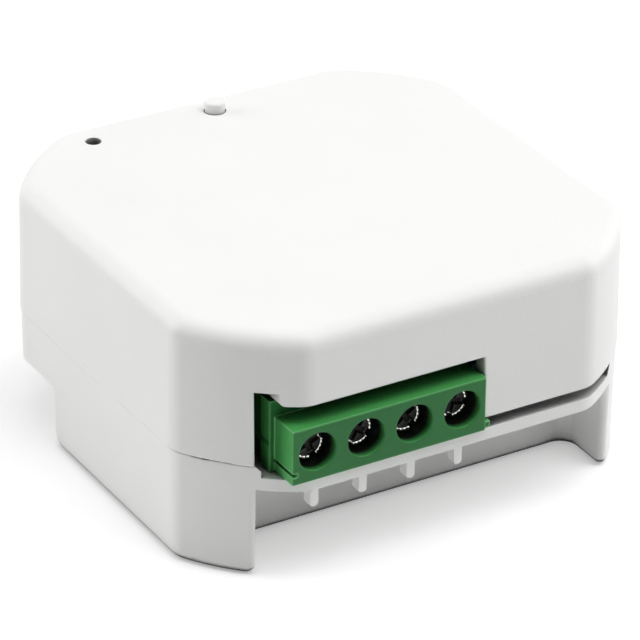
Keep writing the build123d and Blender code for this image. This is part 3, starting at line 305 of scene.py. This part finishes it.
def paint_edge_highlights(tree, shader, edge, highlight_colour, kept=1.0):
    """Painted highlight: lighter colour where the rounded normals leave the plain ones, as if the
    edges caught the light.
    """
    plain = tree.nodes.new("ShaderNodeNewGeometry")
    compare = tree.nodes.new("ShaderNodeVectorMath")
    compare.operation = "DOT_PRODUCT"
    tree.links.new(edge.outputs["Normal"], compare.inputs[0])
    tree.links.new(plain.outputs["Normal"], compare.inputs[1])
    highlight = map_range(tree, compare.outputs["Value"], EDGE_HIGHLIGHT_FULL, EDGE_PLAIN, 1.0, 0.0)
    mix_base(tree, shader, math_node(tree, "MULTIPLY", highlight, kept), srgb(highlight_colour))


def shade_gaps(tree, shader, reach, closed, open_to, deep):
    """Painted shade: darker colour down in narrow gaps and wells, from how closed in the surface
    is.
    """
    nearby = tree.nodes.new("ShaderNodeAmbientOcclusion")
    nearby.samples = EDGE_SAMPLES
    nearby.inputs["Distance"].default_value = reach
    gap_shade = map_range(tree, nearby.outputs["AO"], closed, open_to, 1.0, 0.0)
    mix_base(tree, shader, gap_shade, deep)
    return gap_shade


def paint_side_light(tree, shader):
    """Painted light: lighter colour on the block's top and ends than on its face, as if more light
    fell there.
    """
    surface = tree.nodes.new("ShaderNodeNewGeometry")
    parts = tree.nodes.new("ShaderNodeSeparateXYZ")
    tree.links.new(surface.outputs["Normal"], parts.inputs["Vector"])
    facing = math_node(tree, "ABSOLUTE", parts.outputs["Y"])
    mix_base(tree, shader, map_range(tree, facing, *GREEN_FACING, 1.0, 0.0), srgb(GREEN_SIDE_LIGHT))


def well_place(tree):
    """Distance from the nearest screw's axis, and the place along it, both in metres."""
    low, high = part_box("terminal_screw_1")
    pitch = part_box("terminal_screw_2")[0][0] - low[0]
    middle_x, middle_z = (low[0] + high[0]) / 2, (low[2] + high[2]) / 2
    coords = tree.nodes.new("ShaderNodeTexCoord")
    parts = tree.nodes.new("ShaderNodeSeparateXYZ")
    tree.links.new(coords.outputs["Object"], parts.inputs["Vector"])
    first, last = middle_x - pitch / 2, middle_x + pitch / 2
    across = math_node(tree, "WRAP", parts.outputs["X"], last, first)
    across = math_node(tree, "SUBTRACT", across, middle_x)
    up = math_node(tree, "SUBTRACT", parts.outputs["Z"], middle_z)
    across, up = math_node(tree, "POWER", across, 2.0), math_node(tree, "POWER", up, 2.0)
    return math_node(tree, "SQRT", math_node(tree, "ADD", across, up)), parts.outputs["Y"]


def shade_wells(tree, shader, radius, place):
    """Painted shade: the screw wells darken quickly behind the block's front face."""
    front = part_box("terminal_housing")[0][1]
    start, end = WELL_RADIUS + WELL_EDGE[0], WELL_RADIUS + WELL_EDGE[1]
    inside = map_range(tree, radius, start, end, 1.0, 0.0)
    depth = map_range(tree, place, front + WELL_SHADE[0], front + WELL_SHADE[1])
    mix_base(tree, shader, math_node(tree, "MULTIPLY", inside, depth), WELL_SHADE_COLOUR)


def housing_plastic():
    """White moulded plastic with painted highlights on its edges and painted shade in its gaps."""
    material, tree, shader = new_material("white_plastic")
    vary_colour(tree, shader, noise(tree, *STAINS), *WHITE_TONES)
    edge = edge_bevel(tree, WHITE_EDGE)
    # Painted highlights on the rounded edges
    paint_edge_highlights(tree, shader, edge, WHITE_EDGE_HIGHLIGHT)
    # Painted shade in the gaps
    gap_shade = shade_gaps(tree, shader, *WHITE_GAP_SHADE)
    vary_roughness(tree, shader, noise(tree, *GLOSS_SPOTS), *WHITE_ROUGH, gap_shade)
    scale, relief = WHITE_GRAIN
    bump = add_bump(tree, shader, noise(tree, scale, *GRAIN_DETAIL), relief)
    tree.links.new(edge.outputs["Normal"], bump.inputs["Normal"])
    return material


def terminal_plastic():
    """Green moulded plastic with painted highlights on its edges, painted light on its top and
    ends, and painted shade in its gaps and screw wells.
    """
    material, tree, shader = new_material("green_plastic")
    shader.inputs["Specular IOR Level"].default_value = GREEN_SPECULAR
    vary_colour(tree, shader, noise(tree, *STAINS), *GREEN_TONES)
    # Painted light on the block's top and ends
    paint_side_light(tree, shader)
    edge = edge_bevel(tree, GREEN_EDGE)
    radius, place = well_place(tree)
    start, end = WELL_RADIUS + PLAIN_EDGE[0], WELL_RADIUS + PLAIN_EDGE[1]
    # Painted highlights on the rounded edges, kept off the well mouths
    paint_edge_highlights(tree, shader, edge, GREEN_EDGE_HIGHLIGHT, map_range(tree, radius, start, end))
    # Painted shade in the gaps
    gap_shade = shade_gaps(tree, shader, *GREEN_GAP_SHADE)
    # Painted shade in the screw wells
    shade_wells(tree, shader, radius, place)
    vary_roughness(tree, shader, noise(tree, *GLOSS_SPOTS), *GREEN_ROUGH, gap_shade)
    scale, relief = GREEN_GRAIN
    bump = add_bump(tree, shader, noise(tree, scale, *GRAIN_DETAIL), relief)
    tree.links.new(edge.outputs["Normal"], bump.inputs["Normal"])
    return material


def moulded_plastic(name, dark, light, rough, grain):
    """Moulded plastic with a fine sparked grain and slightly uneven gloss."""
    material, tree, shader = new_material(name)
    vary_colour(tree, shader, noise(tree, *STAINS), dark, light)
    vary_roughness(tree, shader, noise(tree, *GLOSS_SPOTS), *rough)
    scale, relief = grain
    add_bump(tree, shader, noise(tree, scale, *GRAIN_DETAIL), relief)
    return material


def plated_metal(name, dark, light, rough, relief):
    """Plated metal with faint stains and machining marks."""
    material, tree, shader = new_material(name)
    shader.inputs["Metallic"].default_value = 1.0
    vary_colour(tree, shader, noise(tree, *METAL_STAINS), dark, light)
    vary_roughness(tree, shader, noise(tree, *METAL_GLOSS_SPOTS), *rough)
    add_bump(tree, shader, noise(tree, *METAL_MARKS), relief)
    return material


def make_materials():
    """Every material of the object, by name."""
    materials = {"white_plastic": housing_plastic(), "green_plastic": terminal_plastic()}
    for name, looks in PLASTICS.items():
        materials[name] = moulded_plastic(name, *looks)
    for name, looks in METALS.items():
        materials[name] = plated_metal(name, *looks)
    return materials


def finish_nodes(materials):
    """Each CAD node gets its material."""
    finish_of = {family: finish for finish, families in FINISHES.items() for family in families}
    for name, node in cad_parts.items():
        node.data.materials.clear()
        node.data.materials.append(materials[finish_of[name.rstrip("_0123456789")]])


def head_depth(radius, angle, turn):
    """How far the screw head's face lies behind its front plane, in millimetres."""
    if radius > RIM_OUTER:
        share = (radius - RIM_OUTER) / (HEAD_RADIUS - RIM_OUTER)
        depth = HEAD_SHOULDER * (1 - math.sqrt(max(0.0, 1 - share ** 2)))
    elif radius > RIM_INNER:
        depth = RIM_TOOTH * (0.5 + 0.5 * math.cos(RIM_TEETH * angle)) ** 2
    else:
        depth = FACE_SINK
    across = radius * math.cos(angle - turn)
    along = radius * math.sin(angle - turn)
    for offset in (abs(across), abs(along)):
        wall = min(max((CROSS_WIDTH / 2 + CROSS_SLOPE - offset) / CROSS_SLOPE, 0.0), 1.0)
        depth = max(depth, CROSS_DEPTH * wall)
    return depth


def head_radii():
    """Radii of the rings of points on the head, close together at the rim, in millimetres."""
    rim_width, edge_width = RIM_OUTER - RIM_INNER, HEAD_RADIUS - RIM_OUTER
    face = [RIM_INNER * i / FACE_RINGS for i in range(1, FACE_RINGS + 1)]
    rim = [RIM_INNER + rim_width * (i + 0.5) / RIM_RINGS for i in range(RIM_RINGS)]
    shoulder = [RIM_OUTER + edge_width * i / RIM_RINGS for i in range(RIM_RINGS + 1)]
    return face, rim, shoulder


def add_ring(mesh, place, radius, back):
    """Ring of points about the screw's axis; radius and back may depend on the angle."""
    points = []
    for i in range(RING_POINTS):
        angle = 2 * math.pi * i / RING_POINTS
        r = radius(angle) * MM
        spot = (r * math.cos(angle), back(angle) * MM, r * math.sin(angle))
        points.append(mesh.verts.new(place + Vector(spot)))
    return points


def join_rings(mesh, first, second, finish):
    """Band of faces between two rings of points."""
    for i in range(RING_POINTS):
        j = (i + 1) % RING_POINTS
        face = mesh.faces.new((first[i], first[j], second[j], second[i]))
        face.material_index = finish
        face.smooth = True


def add_head(mesh, place, turn):
    """Crossed face, toothed rim and rounded shoulder of a screw's head; gives its last ring."""
    face, rim, shoulder = head_radii()
    middle = mesh.verts.new(place + Vector((0, CROSS_DEPTH * MM, 0)))
    last = None
    for radii, finish in ((face, HEAD), (rim, RIM), (shoulder, HEAD)):
        for radius in radii:
            ring = add_ring(mesh, place, lambda a: radius, lambda a: head_depth(radius, a, turn))
            if last is None:
                for i in range(RING_POINTS):
                    mesh.faces.new((middle, ring[i], ring[(i + 1) % RING_POINTS])).smooth = True
            else:
                join_rings(mesh, last, ring, finish)
            last = ring
    return last


def add_shank(mesh, place, length, last):
    """Back of the head and a threaded shank, from the head's last ring to the screw's end."""
    for radius in (HEAD_RADIUS, THREAD_ROOT):
        ring = add_ring(mesh, place, lambda a: radius, lambda a: HEAD_THICK)
        join_rings(mesh, last, ring, SHANK)
        last = ring
    steps = round((length - HEAD_THICK) / THREAD_PITCH * THREAD_STEPS)
    for i in range(steps + 1):
        back = HEAD_THICK + (length - HEAD_THICK) * i / steps

        def thread(angle):
            phase = math.cos(2 * math.pi * back / THREAD_PITCH - angle)
            return THREAD_ROOT + (THREAD_CREST - THREAD_ROOT) * (0.5 + 0.5 * phase)

        ring = add_ring(mesh, place, thread, lambda a: back)
        join_rings(mesh, last, ring, SHANK)
        last = ring
    mesh.faces.new(reversed(last)).material_index = SHANK


def clamp_screw(index, turn, materials):
    """Screw with a dark crossed head, a toothed rim whose bright metal is a painted highlight, and
    a threaded shank.
    """
    low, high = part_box(f"terminal_screw_{index}")
    place = Vector(((low[0] + high[0]) / 2, low[1], (low[2] + high[2]) / 2))
    mesh = bmesh.new()
    add_shank(mesh, place, (high[1] - low[1]) / MM, add_head(mesh, place, turn))
    bmesh.ops.recalc_face_normals(mesh, faces=mesh.faces)
    name = f"clamp_screw_{index}"
    data = bpy.data.meshes.new(name)
    mesh.to_mesh(data)
    mesh.free()
    for finish in SCREW_FINISHES:
        data.materials.append(materials[finish])
    piece = bpy.data.objects.new(name, data)
    bpy.context.scene.collection.objects.link(piece)
    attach(piece, f"screw_{index}")
    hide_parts(f"terminal_screw_{index}")


def place_camera():
    """Camera with the photograph's place, angle and field of view."""
    sin_a, cos_a = math.sin(CAMERA_AZIMUTH), math.cos(CAMERA_AZIMUTH)
    sin_e, cos_e = math.sin(CAMERA_ELEVATION), math.cos(CAMERA_ELEVATION)
    back = Vector((-sin_a * cos_e, -cos_a * cos_e, sin_e))
    right = Vector((cos_a, -sin_a, 0))
    up = back.cross(right)
    level = Matrix((right, up, back)).transposed()
    turned = level @ Matrix.Rotation(CAMERA_ROLL, 3, "Z")
    data = bpy.data.cameras.new("camera")
    data.lens = CAMERA_LENS
    data.sensor_width = CAMERA_SENSOR
    data.clip_start = CAMERA_NEAR
    camera = bpy.data.objects.new("camera", data)
    camera.matrix_world = Matrix.Translation(CAMERA_PLACE) @ turned.to_4x4()
    bpy.context.scene.collection.objects.link(camera)
    bpy.context.scene.camera = camera


def place_lamps():
    """Large soft lamps above and around the object."""
    for name, place, size, power in LAMPS:
        data = bpy.data.lights.new(name, "AREA")
        data.shape = "SQUARE"
        data.size = size
        data.energy = power
        lamp = bpy.data.objects.new(name, data)
        direction = LAMP_AIM - Vector(place)
        turn = direction.to_track_quat("-Z", "Y").to_matrix().to_4x4()
        lamp.matrix_world = Matrix.Translation(place) @ turn
        bpy.context.scene.collection.objects.link(lamp)


def background_ray(tree):
    """1 for rays that should see the white background: camera, glossy and transmission rays."""
    rays = tree.nodes.new("ShaderNodeLightPath").outputs
    seen = math_node(tree, "MAXIMUM", rays["Is Camera Ray"], rays["Is Glossy Ray"])
    return math_node(tree, "MAXIMUM", seen, rays["Is Transmission Ray"])


def make_world():
    """Even white surroundings, plain white where the background is seen."""
    world = bpy.data.worlds.new("studio")
    bpy.context.scene.world = world
    world.use_nodes = True
    tree = world.node_tree
    tree.nodes.clear()
    mix = tree.nodes.new("ShaderNodeMixShader")
    for socket, strength in ((mix.inputs[1], WORLD_STRENGTH), (mix.inputs[2], 1.0)):
        background = tree.nodes.new("ShaderNodeBackground")
        background.inputs["Color"].default_value = (1, 1, 1, 1)
        background.inputs["Strength"].default_value = strength
        tree.links.new(background.outputs["Background"], socket)
    output = tree.nodes.new("ShaderNodeOutputWorld")
    tree.links.new(background_ray(tree), mix.inputs["Fac"])
    tree.links.new(mix.outputs["Shader"], output.inputs["Surface"])


def make_floor():
    """Pale floor that keeps the object's soft shadow and otherwise reads as white."""
    half = FLOOR_SIZE / 2
    mesh = bpy.data.meshes.new("floor")
    corners = [(-half, -half, 0), (half, -half, 0), (half, half, 0), (-half, half, 0)]
    mesh.from_pydata(corners, [], [(0, 1, 2, 3)])
    floor = bpy.data.objects.new("floor", mesh)
    bpy.context.scene.collection.objects.link(floor)
    material, tree, shader = new_material("floor_paper")
    shader.inputs["Base Color"].default_value = srgb(FLOOR_TONE)
    shader.inputs["Roughness"].default_value = FLOOR_ROUGH
    shader.inputs["Specular IOR Level"].default_value = 0.0
    choose = tree.nodes.new("ShaderNodeMixShader")
    for socket, strength in ((choose.inputs[1], 0.0), (choose.inputs[2], FLOOR_GLOW)):
        glow = tree.nodes.new("ShaderNodeEmission")
        glow.inputs["Strength"].default_value = strength
        tree.links.new(glow.outputs["Emission"], socket)
    total = tree.nodes.new("ShaderNodeAddShader")
    tree.links.new(background_ray(tree), choose.inputs["Fac"])
    tree.links.new(shader.outputs["BSDF"], total.inputs[0])
    tree.links.new(choose.outputs["Shader"], total.inputs[1])
    tree.links.new(total.outputs["Shader"], tree.nodes["Material Output"].inputs["Surface"])
    mesh.materials.append(material)


materials = make_materials()
finish_nodes(materials)
for number, turn in enumerate(SCREW_TURNS, start=1):
    clamp_screw(number, turn, materials)
place_camera()
place_lamps()
make_world()
make_floor()
bpy.context.scene.view_settings.view_transform = "Standard"
